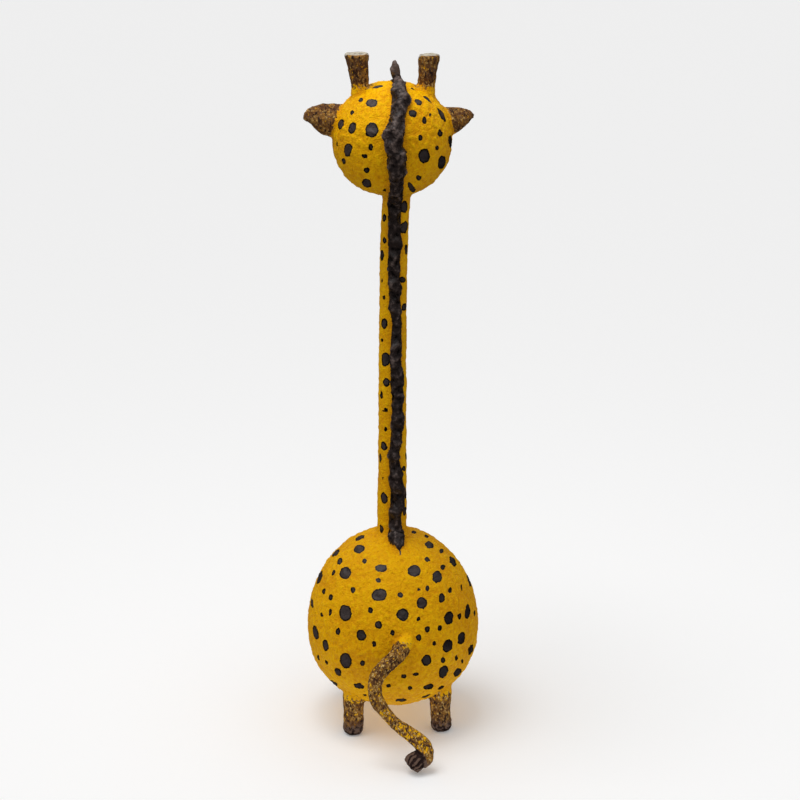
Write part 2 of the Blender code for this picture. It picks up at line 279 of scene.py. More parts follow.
muzzle = {
    "reach": 0.122, "radius": 0.0195, "rootRadius": 0.0275, "drop": 0.0195, "leave": 0.84, "sides": 64,
    "swells": [(0, 1.03), (0.2, 0.72), (0.42, 0.28), (0.62, -0.02), (0.8, -0.10), (1, 0)],
}


def addMuzzle():
    # Built upwards along Z, then turned to point forwards: Z becomes -Y and -Y becomes the drop
    leave = muzzle["leave"] * head["radius"]
    straight = muzzle["reach"] - muzzle["radius"]
    knots = [(0, 0.3 * muzzle["drop"], 0.35 * head["radius"], muzzle["rootRadius"])]
    for share, swell in muzzle["swells"]:
        radius = muzzle["radius"] + swell * (muzzle["rootRadius"] - muzzle["radius"])
        drop = muzzle["drop"] * (0.5 + 0.5 * share)
        knots.append((0, drop, leave + (straight - leave) * share, radius))
    rings = smoothRoute(knots, 3)
    for back, radius in reversed(roundEnd(muzzle["radius"], 0.15 * muzzle["radius"], 10)[:-1]):
        rings.append((0, muzzle["drop"], muzzle["reach"] - back, radius))
    form = addStack("muzzle", rings, muzzle["sides"])
    points = readPoints(form)
    turned = np.stack((points[:, 0], -points[:, 2], head["girdle"] - points[:, 1]), axis=1)
    writePoints(form, turned)
    return form


horns = {
    "left": {"side": 1, "spread": 0.0262, "height": 0.0696, "top": 0.0099},
    "right": {"side": -1, "spread": 0.0275, "height": 0.0677, "top": 0.0088},
    "radius": 0.0074, "splay": 0.0028, "sides": 48,
    # Share of the height, share of the radius, and how far it has widened towards the top
    "shape": [(-0.30, 1.20, 0), (-0.06, 1.12, 0), (0.10, 1.0, 0), (0.30, 1.0, 0.12),
              (0.52, 1.0, 0.36), (0.75, 1.0, 0.68), (0.95, 1.0, 1)],
}


def addHorn(name):
    # A stub that spreads at its foot and widens towards a flat top
    horn = horns[name]
    foot = topAt(head, horn["spread"]) - head["girdle"]
    knots = []
    for share, swell, flare in horns["shape"]:
        radius = horns["radius"] * swell + flare * (horn["top"] - horns["radius"])
        height = head["girdle"] + foot + (horn["height"] - foot) * share
        knots.append((horn["side"] * (horn["spread"] + horns["splay"] * share), 0, height, radius))
    rings = smoothRoute(knots, 3)
    x = horn["side"] * (horn["spread"] + horns["splay"])
    top = head["girdle"] + horn["height"]
    for below, share in ((0.0006, 0.97), (0, 0.88), (0.0008, 0.70)):
        rings.append((x, 0, top - below, share * horn["top"]))
    return addStack(name + " horn", rings, horns["sides"])


ears = {
    "left": {
        "side": 1, "reach": 0.0732, "half": 0.0138, "height": 0.0139, "rise": 0.0024,
        "shape": [(-0.25, 1.00, -0.10), (0.0, 1.08, -0.08), (0.2, 1.06, -0.02), (0.4, 0.97, 0.08),
                  (0.6, 0.81, 0.18), (0.78, 0.60, 0.21), (0.91, 0.38, 0.13), (1.0, 0.13, 0)],
    },
    "right": {
        "side": -1, "reach": 0.0678, "half": 0.0123, "height": 0.0120, "rise": 0.0055,
        "shape": [(-0.25, 1.00, -0.10), (0.0, 1.05, -0.08), (0.2, 1.02, -0.03), (0.4, 0.90, 0.05),
                  (0.6, 0.71, 0.12), (0.78, 0.48, 0.13), (0.91, 0.28, 0.07), (1.0, 0.09, 0)],
    },
    "halfThickness": 0.0042, "cup": 0.45, "sides": 48,
}


def addEar(name):
    # A leaf: a tube along the ear that is pressed flat and whose edges then curl forwards
    ear = ears[name]
    root = 0.80 * head["radius"]
    axis = head["girdle"] + ear["height"]
    knots = []
    for share, half, lift in ear["shape"]:
        x = root + (ear["reach"] - root) * share
        height = axis + ear["half"] * lift + ear["rise"] * max(0, share) ** 1.5
        knots.append((ear["side"] * x, 0, height, ear["half"] * half))
    form = addRope(name + " ear", smoothRoute(knots, 4), ears["sides"])
    points = readPoints(form)
    off = (points[:, 2] - axis) / ear["half"]
    points[:, 1] *= ears["halfThickness"] / ear["half"]
    points[:, 1] -= ears["cup"] * ear["half"] * off * off - ears["halfThickness"]
    writePoints(form, points)
    return form


legs = {
    "radius": 0.0089, "flat": 0.0042, "lean": 0.0015, "sides": 40,
    "feet": [(0.0378, 0.035), (-0.0396, 0.035), (0.033, -0.046), (-0.033, -0.046)],
}


def addLeg(name, place):
    # A stub with a rounded foot, which spreads where it meets the belly
    radius = legs["radius"]
    foot = Vector(place)
    hip = foot * (1 - legs["lean"] / foot.length)
    lower, surface, upper = (undersideAt(body, foot.length + off) for off in (-radius, 0, radius))
    rings = [(*foot, back, size) for back, size in roundEnd(radius, legs["flat"], 10)]
    blend = ((0.72 * lower, 1.0), (lower, 1.06), (surface, 1.16), (upper, 1.08), (upper + radius, 0.6))
    for height, swell in blend:
        rings.append((*foot.lerp(hip, height / upper), height, radius * swell))
    return addStack(name, rings, legs["sides"])


# The tail from its root in the back to the tuft: sideways in millimetres, share of the stand-off,
# share of the drop from the root down to the tuft, and radius in millimetres
tail = {
    "root": 0.102, "tip": 0.0116, "standOff": 0.0412, "sides": 28,
    "knots": [
        (-11.0, -0.32, -0.080, 5.6), (-4.4, -0.02, 0.000, 7.0), (0.9, 0.17, 0.063, 7.0),
        (8.4, 0.305, 0.122, 6.7), (16.0, 0.402, 0.178, 6.5), (21.4, 0.476, 0.248, 6.4),
        (23.3, 0.537, 0.337, 6.3), (22.2, 0.585, 0.429, 6.0), (19.0, 0.622, 0.508, 5.9),
        (14.6, 0.659, 0.576, 5.5), (8.1, 0.707, 0.657, 5.2), (1.5, 0.768, 0.714, 5.6),
        (-6.0, 0.829, 0.770, 6.1), (-13.2, 0.890, 0.832, 6.5), (-17.6, 0.939, 0.907, 6.9),
        (-17.8, 0.976, 0.979, 7.0), (-13.6, 1.000, 1.010, 6.8),
    ],
}


def tailRoute():
    rise = tail["root"] - body["girdle"]
    rootRadius = body["radius"] * math.sqrt(1 - (rise / body["upper"]) ** 2)
    rootBack = math.sqrt(rootRadius ** 2 - (tail["knots"][1][0] * mm) ** 2)
    drop = tail["root"] - tail["tip"]
    knots = [(x * mm, rootBack + off * tail["standOff"], tail["root"] - down * drop, radius * mm)
             for x, off, down, radius in tail["knots"]]
    return smoothRoute(knots, 5)


tuft = {
    "radius": 0.0079, "halfLength": 0.0080, "flute": 0.24, "flutes": 11, "side": -0.0101,
    "direction": Vector((0.74, 0.36, -0.57)),
}


def tuftMiddle():
    return Vector((tuft["side"], tailRoute()[-1][1], tail["tip"]))


def addTuft():
    # A fluted knob at the end of the tail: its end is flatter, and frayed between the flutes
    deselectAll()
    bpy.ops.mesh.primitive_uv_sphere_add(segments=12 * tuft["flutes"], ring_count=40, radius=1)
    form = bpy.context.object
    form.name = "tuft"
    turn = tuft["direction"].to_track_quat("Z", "Y")
    middle = tuftMiddle()
    for vertex in form.data.vertices:
        x, y, z = vertex.co
        angle = math.atan2(y, x)
        wave = math.cos(tuft["flutes"] * angle + 0.8 * math.sin(2 * angle + 1))
        fullness = (1 - abs(z) ** 3.2) ** 0.42 / max(0.001, math.hypot(x, y)) if abs(z) < 0.999 else 0
        spread = tuft["radius"] * fullness * (0.93 + 0.10 * z + tuft["flute"] * wave * (1 + z) / 2)
        length = tuft["halfLength"] * z * (1 - 0.10 * (1 - wave) * max(0, z))
        vertex.co = turn @ Vector((x * spread, y * spread, length)) + middle
    return form


# The mane: how high it rises and how its folds sway, swell and lift, as shares of its half width, then
# how its dark paint spreads over its flanks. It lies on the head between two angles from straight up.
# Its knots run from the forelock's tip to its point on the body, in millimetres: sideways from the
# neck's axis, and half width.
mane = {
    "rise": 0.30, "forelock": 0.0176, "seed": 5, "fold": 7, "sway": 0.16, "swell": 0.13, "lift": 0.20,
    "forelockCalm": 0.25, "headFrom": 14, "headTo": 122, "sides": 32,
    "flank": 0.0018, "flankFade": (0.0006, 0.0018), "flankAtJoints": 0.25, "neckSkin": 1.04,
    "aboveBody": 0.004, "belowHead": 0.012, "side": 0.0022, "sideFade": (0.0026, 0.0036),
    "slack": 0.0048, "forelockFoot": 0.0015, "forelockReach": 0.012,
    "forelockKnots": [(-1.9, 1.6), (-2.1, 3.1), (-2.6, 3.9), (-3.2, 4.3)],
    "headKnots": [(-3.4, 4.6), (-3.6, 5.6), (-3.0, 6.8), (-0.6, 6.5),
                  (1.2, 7.4), (1.4, 6.6), (-0.5, 6.9), (0.3, 5.8)],
    "napeKnots": [(0.2, 5.6), (-0.3, 5.2)],
    "neckKnots": [(-0.2, 4.8), (-0.5, 4.5), (-1.0, 4.7), (-2.2, 4.5), (-2.6, 4.7),
                  (-3.2, 4.6), (-2.6, 4.4), (-0.6, 4.9), (-2.3, 5.6), (-1.6, 5.4)],
    "footKnots": [(-1.2, 5.8), (-1.6, 5.3), (-2.7, 3.7), (-3.7, 0.6)],
}


def maneSpine():
    # Places of the mane's knots in the plane x = 0, as (y, z, lift direction), from the forelock down
    spine = [(-0.10 * mane["forelock"] * (1 - share), headTop + mane["forelock"] * share, (0, 0))
             for share in (1, 0.72, 0.38, 0.05)]
    count = len(mane["headKnots"])
    for step in range(count):
        turn = (mane["headTo"] - mane["headFrom"]) * step / (count - 1)
        angle = math.radians(mane["headFrom"] + turn)
        out = (math.sin(angle), math.cos(angle))
        spine.append((*ballPoint(head, *out), out))
    fillet = neck["fillet"]
    flare = neck["radius"] + fillet
    underHead = undersideAt(head, flare)
    spine.append((flare + 0.45 * fillet, underHead - 0.05 * fillet, (0.7, -0.5)))
    spine.append((neck["radius"] + 0.2 * fillet, underHead - 1.1 * fillet, (0.9, -0.2)))
    count = len(mane["neckKnots"])
    flare = neck["footRadius"] + fillet
    foot = topAt(body, flare)
    start = underHead - 2.6 * fillet
    end = foot + 1.5 * fillet
    for step in range(count):
        height = start + (end - start) * step / (count - 1)
        spine.append((neckRadiusAt(height), height, (1, 0)))
    spine.append((neck["footRadius"] + 0.28 * fillet, foot + 0.5 * fillet, (0.8, 0.4)))
    spine.append((flare + 0.1 * fillet, foot, (0.4, 0.8)))
    for share, lean in ((0.85, (0.3, 0.6)), (1.5, (0.2, 0.3))):
        back = flare + share * fillet
        spine.append((back, topAt(body, back), lean))
    return spine


def maneRoute():
    widths = (mane["forelockKnots"] + mane["headKnots"] + mane["napeKnots"] + mane["neckKnots"]
              + mane["footKnots"])
    knots = []
    for (x, half), (y, z, lift) in zip(widths, maneSpine()):
        rise = mane["rise"] * half * mm
        knots.append((x * mm, y + lift[0] * rise, z + lift[1] * rise, half * mm))
    return smoothRoute(knots, 9)


def crumple(route):
    # The route with folds at uneven steps: pushed sideways, lifted or pressed, wider or narrower
    dice = random.Random(mane["seed"])
    folds = []
    for _ in range(len(route) // mane["fold"] + 3):
        folds.append(tuple(dice.uniform(-1, 1) for _ in range(3)))
    crumpled = []
    for index, (x, y, z, half) in enumerate(route):
        before, share = divmod(index + 2.2 * math.sin(0.37 * index), mane["fold"])
        before = max(0, int(before))
        share = 0.5 - 0.5 * math.cos(math.pi * share / mane["fold"])
        sway, swell, lift = (a + (b - a) * share for a, b in zip(folds[before], folds[before + 1]))
        step = mane["lift"] * half * lift
        nape = min(1, max(0, (z - head["girdle"]) / head["upper"] + 0.4))
        calm = mane["forelockCalm"] if z > headTop + 0.002 else 1
        crumpled.append((x + calm * mane["sway"] * half * sway, y + step * (1 - 0.7 * nape),
                         z + calm * step * nape, half * (1 + calm * mane["swell"] * swell)))
    return crumpled


maneCourse = crumple(maneRoute())


def addMane():
    return addRope("mane", maneCourse, mane["sides"])


# How the forms are fused and worked over: a fine even mesh, then the relief of the pulp, each kind with
# the size of its lumps and its depth, and how much of it the mane and the pulp have on each form
surface = {
    "voxel": 0.00095, "triangles": 192000,
    "lumps": (0.015, 0.0016), "pulp": (0.0036, 0.0019), "bark": (0.0038, 0.0012),
    "crease": (0.0105, 0.0058), "ply": (0.0042, 0.0014),
    "maneFade": 0.8, "maneOnNeck": 0.36, "maneOnForelock": 0.15, "pulpOnBrown": 0.35, "pulpOnNeck": 0.6,
}


def fuse(forms):
    deselectAll()
    for form in forms:
        form.select_set(True)
    bpy.context.view_layer.objects.active = forms[0]
    bpy.ops.object.join()
    piece = bpy.context.object
    piece.name = "giraffe_statue"
    piece.data.name = piece.name
    applyModifier(piece, "REMESH", mode="VOXEL", voxel_size=surface["voxel"])
    return piece


def setGroup(piece, name, weights):
    group = piece.vertex_groups.new(name=name)
    levels = np.round(np.clip(weights, 0, 1), 2)
    for level in np.unique(levels[levels > 0]):
        group.add(np.nonzero(levels == level)[0].tolist(), float(level), "REPLACE")


def awayFrom(points, place):
    return np.sqrt(((points - np.array(place)) ** 2).sum(axis=1))


def ramp(values, fade):
    # 0 at the first value of the fade, 1 at the second
    low, high = fade
    return np.clip((values - low) / (high - low), 0, 1)


def nearestOn(points, route):
    # For each point the index of the nearest place of a route, and its distance
    nearest = np.zeros(len(points), int)
    least = np.full(len(points), 9.0)
    for index, (x, y, z, _) in enumerate(route):
        away = awayFrom(points, (x, y, z))
        closer = away < least
        least[closer] = away[closer]
        nearest[closer] = index
    return nearest, least


def outOf(ball, points):
    # How far each point stands out of a ball
    x, y, z = points.T
    height = np.where(z > ball["girdle"], ball["upper"], ball["lower"])
    up = (z - ball["girdle"]) * ball["radius"] / height
    return np.sqrt(x ** 2 + y ** 2 + up ** 2) - ball["radius"]


def maneEdgeAt(points):
    # Millimetres sideways from the mane's edge, below zero on the mane
    x, y, z = points.T
    places = np.array(maneCourse)
    nearest, least = nearestOn(points, places)
    half = places[nearest, 3]
    sideways = np.abs(x - places[nearest, 0]) - half
    # The mane's flanks, which stand out of the neck and the balls, are dark down to their foot
    flare = neck["footRadius"] + neck["fillet"]
    straight = z > topAt(body, flare) + mane["aboveBody"]
    straight &= z < undersideAt(head, flare) - mane["belowHead"]
    out = np.hypot(x, y) - mane["neckSkin"] * neck["radius"]
    out = np.minimum(out, np.minimum(outOf(head, points), outOf(body, points)))
    flank = mane["flank"] * np.where(straight, 1, mane["flankAtJoints"])
    sideways -= flank * ramp(out, mane["flankFade"])
    # Behind the horns, what stands well out of the head is the mane's side as well
    behind = z > head["girdle"] - 0.5 * head["lower"]
    behind &= z < head["girdle"] + 0.92 * head["upper"]
    sideways -= mane["side"] * np.where(behind, ramp(out, mane["sideFade"]), 0)
    edge = np.maximum(sideways, least - half - mane["slack"])
    # The forelock is dark all round
    above = z > headTop + mane["forelockFoot"]
    edge[above & (np.hypot(x, y) < mane["forelockReach"])] = -2 * mm
    return edge / mm


# How far the soft flare of each joint reaches, and how strongly and how often it is smoothed
flares = {"horn": 0.012, "leg": 0.016, "tail": 0.011, "muzzle": 0.034, "strength": 1.6, "passes": 24}


def softJoints(piece):
    # The joints, as places with the reach of their soft flare
    joints = []
    for name in ("left", "right"):
        horn = horns[name]
        joints.append((horn["side"] * horn["spread"], 0, topAt(head, horn["spread"]), flares["horn"]))
    for x, y in legs["feet"]:
        joints.append((x, y, undersideAt(body, math.hypot(x, y)), flares["leg"]))
    tailLeaves = tailRoute()[7]  # where the tail comes out of the back
    joints.append((*tailLeaves[:3], flares["tail"]))
    muzzleFoot = (0, muzzle["leave"] * -head["radius"], head["girdle"] - 0.5 * muzzle["drop"])
    joints.append((*muzzleFoot, flares["muzzle"]))
    points = readPoints(piece)
    weights = np.zeros(len(points))
    for x, y, z, reach in joints:
        away = awayFrom(points, (x, y, z))
        weights = np.maximum(weights, flares["strength"] * (1 - away / reach))
    setGroup(piece, "joints", weights)
    applyModifier(piece, "SMOOTH", factor=0.5, iterations=flares["passes"], vertex_group="joints")
    applyModifier(piece, "SMOOTH", factor=0.5, iterations=2)


def roughen(piece, name, kind, size, strength, group=""):
    texture = bpy.data.textures.new(name, kind)
    texture.noise_scale = size
    applyModifier(piece, "DISPLACE", texture=texture, texture_coords="LOCAL", strength=strength,
                  mid_level=0.5, vertex_group=group)


deselectAll()
forms = [addBall("body", body), addBall("head", head), addNeck(), addMuzzle()]
forms += [add(name) for add in (addHorn, addEar) for name in ("left", "right")]
forms += [addLeg("leg", place) for place in legs["feet"]]
forms.append(addRope("tail", tailRoute(), tail["sides"]))
giraffe = fuse(forms)
print("yellow forms fused,", len(giraffe.data.vertices), "points")
softJoints(giraffe)
print("joints softened")
giraffe = fuse([giraffe, addTuft(), addMane()])
print("mane and tuft added,", len(giraffe.data.vertices), "points")

# How much of the yellow the dabbed brown covers, from 0 to 1, on each form, where the form ends and
# over which distances or shares of the tail's length the brown begins
brown = {
    "horns": 0.80, "hornReach": 0.0118, "hornFade": (-0.0020, 0.0075),
    "ears": 0.80, "earBand": 0.020, "earFrom": 0.036, "earFade": (0.0006, 0.0024),
    "legs": 0.76, "legReach": 0.0115, "legFade": (0.0105, -0.0045),
    "feet": 0.30, "footFade": (0.0155, 0.0050), "tuft": 1.1, "tuftFade": (0.0125, 0.0100),
    "tailTop": 0.77, "tailEnd": 0.56, "tailReach": 0.0018, "tailFade": (0.05, 0.115),
    "hook": 0.35, "hookFade": (0.88, 0.97), "muzzle": 0.70, "muzzleFade": (-0.092, -0.108),
}
# The pale painted reflection on the horns' flat tops fades downwards, and backwards in shares of the radius
hornTopGlare = {"reach": 0.013, "downFade": (-0.0026, -0.0012), "backFade": (0.62, 0.30)}


def coatEdges(points):
    # Where each coat of paint lies: the mane's edge in millimetres, the brown's cover, and the pale painted
    # reflection on the horns' tops
    x, y, z = points.T
    cover, pale = np.zeros(len(points)), np.zeros(len(points))

    def dab(near, amount):
        cover[near] = np.maximum(cover, amount)[near]

    for name in ("left", "right"):
        horn, ear = horns[name], ears[name]
        foot = topAt(head, horn["spread"])
        near = np.hypot(x - horn["side"] * (horn["spread"] + 0.0015), y) < brown["hornReach"]
        dab(near & (z > foot - 0.004), brown["horns"] * ramp(z - foot, brown["hornFade"]))
        near = np.abs(z - head["girdle"] - ear["height"]) < brown["earBand"]
        near &= x * ear["side"] > brown["earFrom"]
        dab(near, brown["ears"] * ramp(outOf(head, points), brown["earFade"]))
        # A pale painted reflection of the light from above on each horn's flat top
        near = np.hypot(x - horn["side"] * (horn["spread"] + horns["splay"]), y) < hornTopGlare["reach"]
        bare = ramp(z - head["girdle"] - horn["height"], hornTopGlare["downFade"])
        pale[near] = (bare * ramp(y / horn["top"], hornTopGlare["backFade"]))[near]
    for footX, footY in legs["feet"]:
        hip = undersideAt(body, math.hypot(footX, footY))
        leg = brown["legs"] * ramp(z - hip, brown["legFade"]) + brown["feet"] * ramp(z, brown["footFade"])
        dab(np.hypot(x - footX, y - footY) < brown["legReach"], leg)
    route = np.array(tailRoute())
    nearest, least = nearestOn(points, route)
    share = nearest / (len(route) - 1)
    dabs = brown["tailTop"] + (brown["tailEnd"] - brown["tailTop"]) * share
    dabs = dabs * ramp(share, brown["tailFade"]) + brown["hook"] * ramp(share, brown["hookFade"])
    dab(least < route[nearest, 3] + brown["tailReach"], dabs)
    tuftCover = brown["tuft"] * ramp(awayFrom(points, tuftMiddle()), brown["tuftFade"])
    dab(tuftCover > 0, tuftCover)
    dab(z > bodyTop + neck["length"] / 2, brown["muzzle"] * ramp(y, brown["muzzleFade"]))
    return {"maneEdge": maneEdgeAt(points), "brownCover": cover, "paleEyesAndHornGlare": pale}


points = readPoints(giraffe)
height = points[:, 2]
edges = coatEdges(points)
# The mane is more crumpled on the head than down the neck and at the forelock
folded = np.where(height > head["girdle"] - head["lower"], 1.0, surface["maneOnNeck"])
folded[height > headTop + 0.002] = surface["maneOnForelock"]
setGroup(giraffe, "mane", -edges["maneEdge"] / surface["maneFade"] * folded)
setGroup(giraffe, "dark", np.where((edges["maneEdge"] < 0) | (edges["brownCover"] > 0.95), 1.0, 0.0))
setGroup(giraffe, "bark", edges["brownCover"])
# The pulp is smoother on the neck, and smoothest on the small dabbed forms
onNeck = (height > bodyTop) & (height < head["girdle"] - head["lower"])
pulp = np.where(onNeck, surface["pulpOnNeck"], 1.0)
setGroup(giraffe, "pulp", np.where(edges["brownCover"] > 0, surface["pulpOnBrown"], pulp))
roughen(giraffe, "lumps", "CLOUDS", *surface["lumps"])
roughen(giraffe, "pulp", "CLOUDS", *surface["pulp"], group="pulp")
roughen(giraffe, "bark", "CLOUDS", *surface["bark"], group="bark")
roughen(giraffe, "crease", "VORONOI", *surface["crease"], group="mane")
roughen(giraffe, "ply", "CLOUDS", *surface["ply"], group="mane")
print("relief made")


def thin(piece):
    # Fewer triangles where the surface is plain, all of them in the mane and the tuft
    applyModifier(piece, "TRIANGULATE")
    count = len(piece.data.polygons)
    if count > surface["triangles"]:
        applyModifier(piece, "DECIMATE", ratio=surface["triangles"] / count, vertex_group="dark",
                      invert_vertex_group=True, vertex_group_factor=1.0)
    print("thinned from", count, "to", len(piece.data.polygons), "triangles")


thin(giraffe)
# The relief stays inside the solid's box, and the feet stand flat on the floor
points = readPoints(giraffe)
for x, y in legs["feet"]:
    sole = (np.hypot(points[:, 0] - x, points[:, 1] - y) < legs["flat"]) & (points[:, 2] < 0.001)
    points[sole, 2] = 0
writePoints(giraffe, np.clip(points, list(cadBox[0]), list(cadBox[1])))
mergeAndTurnOut(giraffe)
print("merged and turned outward,", len(giraffe.data.polygons), "faces")

# Spots that the picture shows: across, down, width and height in its pixels, and a turn in degrees
# where there is one
headSpots = [
    (371.6, 103.1, 12.1, 9.2), (360.5, 99.8, 5.1, 4.5, 30), (378.0, 86.8, 10.8, 3.2, 8),
    (352.2, 112.7, 4.5, 3.8, 35), (341.3, 124.4, 6.1, 10.8, -10), (352.2, 128.0, 8.3, 11.5, -15),
    (371.6, 129.9, 14.0, 15.3), (347.8, 150.2, 8.7, 12.8), (370.7, 147.6, 5.1, 7.0),
    (364.6, 156.0, 6.1, 4.5, -20), (343.6, 161.6, 3.8, 6.4, 20), (366.8, 170.1, 5.7, 5.4),
    (366.5, 183.7, 10.2, 7.0, -25), (384.4, 190.7, 3.2, 2.6), (413.1, 113.5, 8.7, 7.4, -25),
    (418.6, 101.8, 8.3, 6.4, -25), (412.8, 88.9, 4.5, 2.3, -30), (427.5, 99.5, 10.2, 3.2, -40),
    (430.6, 114.2, 2.6, 3.8), (424.6, 120.3, 4.5, 7.4), (441.8, 114.8, 5.4, 15.3, 30),
    (420.4, 137.8, 5.1, 6.4, -15), (439.9, 133.3, 5.1, 7.7), (424.3, 156.0, 11.5, 14.0, -8),
    (437.3, 147.6, 4.0, 4.8), (450.3, 141.6, 3.8, 11.5), (442.0, 162.7, 7.7, 12.8, -18),
    (418.8, 178.0, 5.4, 4.8, -30), (412.4, 189.4, 8.6, 5.0, -35), (336.9, 143.5, 1.5, 5.1),
]
neckSpots = [
    (404.4, 207.0, 6.4, 12.1, -8), (384.0, 217.9, 3.8, 8.3), (404.8, 227.4, 7.4, 12.8, -20),
    (384.3, 240.3, 3.8, 7.0), (382.1, 255.3, 3.6, 10.8), (406.3, 249.5, 2.8, 10.2),
    (382.1, 280.4, 1.8, 4.5), (402.9, 279.7, 5.7, 6.4), (383.7, 297.6, 2.8, 5.1),
    (404.8, 306.9, 4.3, 8.3, -15), (384.0, 323.8, 6.6, 10.8), (382.1, 340.5, 2.3, 3.8),
    (385.3, 359.2, 8.6, 14.0), (406.6, 355.4, 1.8, 5.7), (386.2, 382.4, 6.6, 9.2),
    (381.5, 394.5, 2.6, 8.3), (385.7, 409.9, 3.8, 4.8), (383.1, 412.5, 1.6, 4.8),
    (385.7, 429.3, 3.2, 4.5), (383.6, 446.3, 5.4, 10.2, 12), (380.2, 458.0, 2.0, 10.2),
    (406.3, 455.7, 1.6, 7.7), (404.2, 468.6, 3.8, 5.4), (383.1, 478.0, 2.3, 3.8),
    (384.0, 498.2, 6.4, 12.8, 15), (405.7, 494.4, 2.8, 9.0), (405.3, 511.3, 3.2, 9.6, -12),
    (381.5, 528.8, 4.1, 8.3), (407.0, 525.0, 2.3, 8.3),
]
bodySpots = [
    (358.9, 549.1, 11.2, 7.7, 15), (345.1, 572.9, 12.1, 11.2, 35), (380.9, 568.2, 12.1, 7.7),
    (414.3, 570.8, 13.4, 11.2), (437.2, 576.8, 10.0, 11.7), (379.2, 594.9, 15.5, 12.4, 12),
    (353.2, 590.1, 4.8, 6.5), (378.2, 580.3, 5.5, 4.8, -20), (400.2, 594.9, 5.5, 5.5, -30),
    (427.2, 588.7, 4.3, 6.0), (421.9, 603.0, 10.7, 11.7), (441.5, 597.8, 6.5, 9.5),
    (345.5, 613.0, 12.9, 16.4), (370.6, 610.4, 5.5, 6.5), (402.8, 614.7, 12.4, 12.4),
    (448.9, 618.0, 9.5, 13.4, -8), (467.5, 611.6, 5.5, 14.6, -5), (418.8, 618.7, 4.3, 5.3),
    (378.5, 624.9, 7.2, 8.6), (361.1, 635.2, 10.0, 11.2, 20), (315.3, 632.4, 6.0, 14.6, 12),
    (326.2, 645.2, 6.5, 11.7, 5), (345.5, 660.9, 11.7, 16.9, 5), (374.2, 643.8, 4.3, 6.5),
    (392.6, 632.6, 4.8, 6.0), (439.8, 627.8, 4.3, 6.5), (427.2, 629.5, 5.2, 6.5, -15),
    (418.5, 637.6, 5.5, 7.2), (447.9, 646.0, 10.3, 13.4, -15), (461.3, 638.0, 7.7, 12.9, -12),
    (434.3, 643.6, 4.3, 5.2), (426.6, 660.3, 10.0, 11.7, -15), (443.6, 671.9, 9.5, 13.8, -15),
    (443.1, 660.2, 4.3, 6.5), (362.5, 662.8, 5.2, 6.0), (337.9, 672.2, 7.2, 8.6, 20),
    (359.2, 685.8, 10.7, 6.0, -8), (403.7, 676.4, 6.0, 4.8), (415.7, 673.8, 6.0, 4.3),
    (410.2, 688.1, 4.8, 4.8), (388.5, 685.8, 5.5, 4.3), (428.6, 686.9, 10.3, 6.5, 12),
    (337.9, 631.6, 4.8, 7.7), (330.5, 597.5, 3.8, 7.2, -15), (323.9, 591.3, 3.4, 6.0, -15),
    (330.3, 612.3, 3.1, 6.9, -8), (321.7, 614.7, 2.6, 5.2, -8), (429.5, 545.0, 9.0, 6.5, -20),
    (441.5, 550.5, 4.3, 4.3, -20), (453.1, 561.3, 5.8, 10.6, 35), (427.2, 559.4, 4.8, 5.5, 20),
    (442.9, 567.0, 5.2, 5.2, 30), (450.1, 590.1, 3.8, 6.0), (461.6, 587.5, 1.8, 6.5),
    (459.6, 616.4, 3.4, 7.2), (364.6, 561.1, 4.8, 4.8), (339.6, 561.1, 4.6, 7.2, -30),
    (333.6, 572.5, 2.6, 6.4, -28), (456.2, 657.8, 3.1, 6.0),
    (418.8, 589.7, 3.4, 3.4), (364.9, 695.1, 4.8, 2.1), (401.1, 700.3, 11.2, 4.3),
    (426.0, 696.0, 9.5, 2.6, 20), (441.5, 688.2, 6.9, 4.3, 25), (457.8, 672.7, 7.7, 10.3, -25),
    (470.5, 649.8, 5.2, 11.2, -10), (469.0, 580.6, 2.6, 11.0, 20), (319.6, 577.5, 4.2, 14.5, -22),
    (335.3, 552.8, 3.6, 9.5, -48), (359.7, 537.6, 10.3, 3.4, 25), (414.0, 532.0, 5.0, 2.4, -15),
    (426.5, 536.4, 4.4, 2.4, -20), (442.6, 542.8, 8.5, 1.6, -38), (312.0, 603.0, 2.6, 10.0, 8),
    (326.5, 662.0, 3.2, 5.6, 15), (318.5, 657.5, 2.4, 6.0, 12), (333.0, 683.0, 10.0, 4.6, -35),
    (462.5, 661.5, 2.2, 5.0), (474.6, 613.0, 1.6, 6.0), (459.0, 600.5, 1.6, 1.6),
]
# The plain painted face, which the picture doesn't show: sideways and up from the head's girdle, width
# and height in millimetres. The dark places are the pupils, the nostrils and the mouth.
face = {
    "dark": [(20, 13, 8.5, 11), (-20, 13, 8.5, 11), (7, -13, 3.6, 5.4), (-7, -13, 3.6, 5.4),
             (0, -27.5, 21, 2.4)],
    "eyes": [(20, 13, 14, 17), (-20, 13, 14, 17)],
}
# Further spots on the sides that the picture doesn't show. Each of three sizes has its least and its
# greatest radius, and the bare yellow kept around it, in millimetres. The limb is how far past the
# figure's own edge they begin.
hiddenSpots = {
    "seed": 11, "tries": 1400, "sizes": [(4.6, 6.4, 8.5), (2.8, 3.9, 5.5), (1.1, 2.0, 4.6)],
    "stretch": (1.0, 1.3), "neckSize": 0.62, "limb": 0.17, "neckLimb": 0.34, "offMane": 2.5,
}


def spotFromPicture(piece, across, down, wide, high, turn=0):
    # The spot's middle on the surface, and its two half axes, as vectors in the picture's plane
    half = camera["picture"] / 2
    ray = (rightward * (across - half) - upward * (down - half) - backward * pixelsPerRay).normalized()
    hit, place, normal, _ = piece.ray_cast(viewer.location, ray)
    if not hit:
        return None
    size = (viewer.location - place).dot(backward) / pixelsPerRay
    angle = math.radians(turn)
    along = (rightward * math.cos(angle) + upward * math.sin(angle)) / (0.5 * wide * size)
    over = (upward * math.cos(angle) - rightward * math.sin(angle)) / (0.5 * high * size)
    return place, normal, along, over


